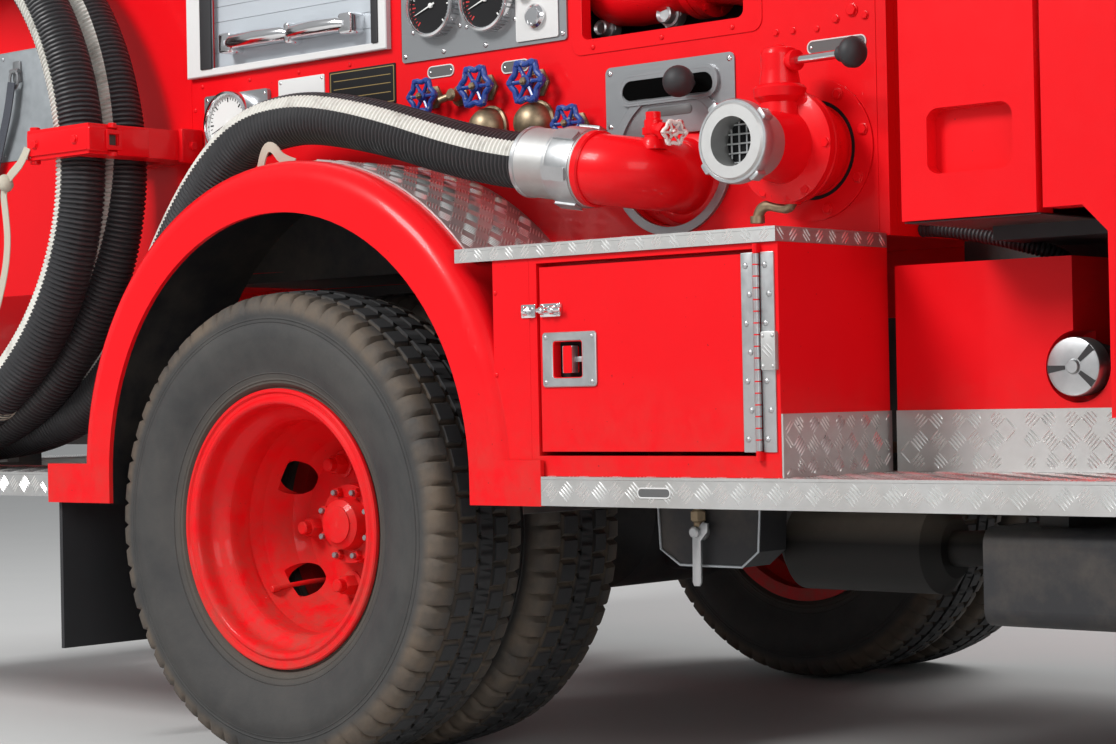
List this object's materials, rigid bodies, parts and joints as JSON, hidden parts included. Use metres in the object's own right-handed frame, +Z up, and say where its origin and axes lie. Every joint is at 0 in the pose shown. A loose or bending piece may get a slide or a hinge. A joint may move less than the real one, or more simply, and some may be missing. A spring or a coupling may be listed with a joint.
{
  "type": "fire engine",
  "caption": "Small four-door fire engine with twin rear wheels, a side pump panel, coiled suction hoses, tread-plate steps and an open hose bed.",
  "frame": {"origin": "on the ground, at the middle of the vehicle's length and width", "axes": "+X forward, +Y to the vehicle's left, +Z up"},
  "size_m": [5.55, 2.16, 2.235],
  "materials": {
    "body_red": "gloss, chalked in places",
    "chassis_black": "satin, dusty",
    "spring_steel": "matt",
    "engine_grey": "matt",
    "exhaust_steel": "dull, heat-stained",
    "black_plastic": "matt",
    "tyre_rubber": "dusty",
    "window_glass": "clear",
    "white_paint": "gloss",
    "lamp_glass": "clear",
    "seat_fabric": "woven",
    "lamp_red": "clear red",
    "tread_plate": "five-bar tread, worn",
    "shutter_grey": "satin",
    "panel_white": "satin",
    "coupling_aluminium": "cast, worn",
    "hose_rubber": "corrugated",
    "wheel_blue": "worn gloss",
    "handrail_chrome": "polished"
  },
  "bodies": {
    "vehicle": {"chassis_frame": "chassis_black", "front_axle": "chassis_black", "rear_axle": "chassis_black", "leaf_springs": "spring_steel", "drivetrain": "engine_grey", "exhaust": "exhaust_steel", "side_boxes": "chassis_black", "mudguards": "black_plastic", "cab_roof": "body_red", "cab_rear": "body_red", "cab_front": "body_red", "cab_sides": "body_red", "cab_glass": "window_glass", "cab_floor": "black_plastic", "front_bumper": "white_paint", "grille": "black_plastic", "headlamps": "lamp_glass", "dashboard": "black_plastic", "seats": "seat_fabric", "mirrors": "black_plastic", "light_bar": "lamp_red", "body_sides": "body_red", "body_core": "body_red", "fenders": "body_red", "lockers": "body_red", "tread_plates": "tread_plate", "roller_shutters": "shutter_grey", "gauge_panels": "panel_white", "suction_elbows": "body_red", "couplings": "coupling_aluminium", "relay_inlets": "body_red", "suction_hoses": "hose_rubber", "hose_clamps": "body_red", "hand_wheels": "wheel_blue", "top_rails": "handrail_chrome", "ladder": "coupling_aluminium", "tail_lamps": "lamp_red", "pump": "engine_grey"},
    "knuckle_right": {"knuckle_right": "chassis_black"},
    "wheel_front_right": {"rim_front_right": "body_red", "tyre_front_right": "tyre_rubber"},
    "wheels_rear_right": {"rims_rear_right": "body_red", "tyres_rear_right": "tyre_rubber"},
    "door_front_right": {"door_front_right": "body_red", "glass_front_right": "window_glass"},
    "door_rear_right": {"door_rear_right": "body_red", "glass_rear_right": "window_glass"},
    "locker_door_right": {"locker_door_right": "body_red"},
    "knuckle_left": {"knuckle_left": "chassis_black"},
    "wheel_front_left": {"rim_front_left": "body_red", "tyre_front_left": "tyre_rubber"},
    "wheels_rear_left": {"rims_rear_left": "body_red", "tyres_rear_left": "tyre_rubber"},
    "door_front_left": {"door_front_left": "body_red", "glass_front_left": "window_glass"},
    "door_rear_left": {"door_rear_left": "body_red", "glass_rear_left": "window_glass"},
    "locker_door_left": {"locker_door_left": "body_red"},
    "track_rod": {"track_rod": "chassis_black"}
  },
  "joints": [
    {"name": "steer_right", "type": "hinge", "parent": "vehicle", "child": "knuckle_right", "pos_m": [1.685, -0.6, 0.379], "axis": [0, 0, 1], "range_deg": [-32, 32]},
    {"name": "wheel_front_right", "type": "hinge", "parent": "knuckle_right", "child": "wheel_front_right", "pos_m": [1.685, -0.7, 0.379], "axis": [0, 1, 0], "continuous": true},
    {"name": "wheels_rear_right", "type": "hinge", "parent": "vehicle", "child": "wheels_rear_right", "pos_m": [-1.075, -0.71, 0.379], "axis": [0, 1, 0], "continuous": true},
    {"name": "door_front_right", "type": "hinge", "parent": "vehicle", "child": "door_front_right", "pos_m": [2.4445, -0.85, 1.3], "axis": [0, 0, 1], "range_deg": [0, 70]},
    {"name": "door_rear_right", "type": "hinge", "parent": "vehicle", "child": "door_rear_right", "pos_m": [1.1625, -0.85, 1.3], "axis": [0, 0, 1], "range_deg": [0, 70]},
    {"name": "locker_door_right", "type": "hinge", "parent": "vehicle", "child": "locker_door_right", "pos_m": [-0.102, -0.941, 0.632], "axis": [0, 0, 1], "range_deg": [0, 110]},
    {"name": "steer_left", "type": "hinge", "parent": "vehicle", "child": "knuckle_left", "pos_m": [1.685, 0.6, 0.379], "axis": [0, 0, 1], "range_deg": [-32, 32]},
    {"name": "wheel_front_left", "type": "hinge", "parent": "knuckle_left", "child": "wheel_front_left", "pos_m": [1.685, 0.7, 0.379], "axis": [0, 1, 0], "continuous": true},
    {"name": "wheels_rear_left", "type": "hinge", "parent": "vehicle", "child": "wheels_rear_left", "pos_m": [-1.075, 0.71, 0.379], "axis": [0, 1, 0], "continuous": true},
    {"name": "door_front_left", "type": "hinge", "parent": "vehicle", "child": "door_front_left", "pos_m": [2.4445, 0.85, 1.3], "axis": [0, 0, -1], "range_deg": [0, 70]},
    {"name": "door_rear_left", "type": "hinge", "parent": "vehicle", "child": "door_rear_left", "pos_m": [1.1625, 0.85, 1.3], "axis": [0, 0, -1], "range_deg": [0, 70]},
    {"name": "locker_door_left", "type": "hinge", "parent": "vehicle", "child": "locker_door_left", "pos_m": [-0.102, 0.941, 0.632], "axis": [0, 0, -1], "range_deg": [0, 110]},
    {"name": "track_rod", "type": "hinge", "parent": "knuckle_right", "child": "track_rod", "pos_m": [1.515, -0.57, 0.3], "axis": [0, 0, 1], "range_deg": [-32, 32]}
  ],
  "couplings": [
    {"joint": "steer_left", "follows": "steer_right", "ratio": 1},
    {"joint": "track_rod", "follows": "steer_right", "ratio": -1}
  ]
}
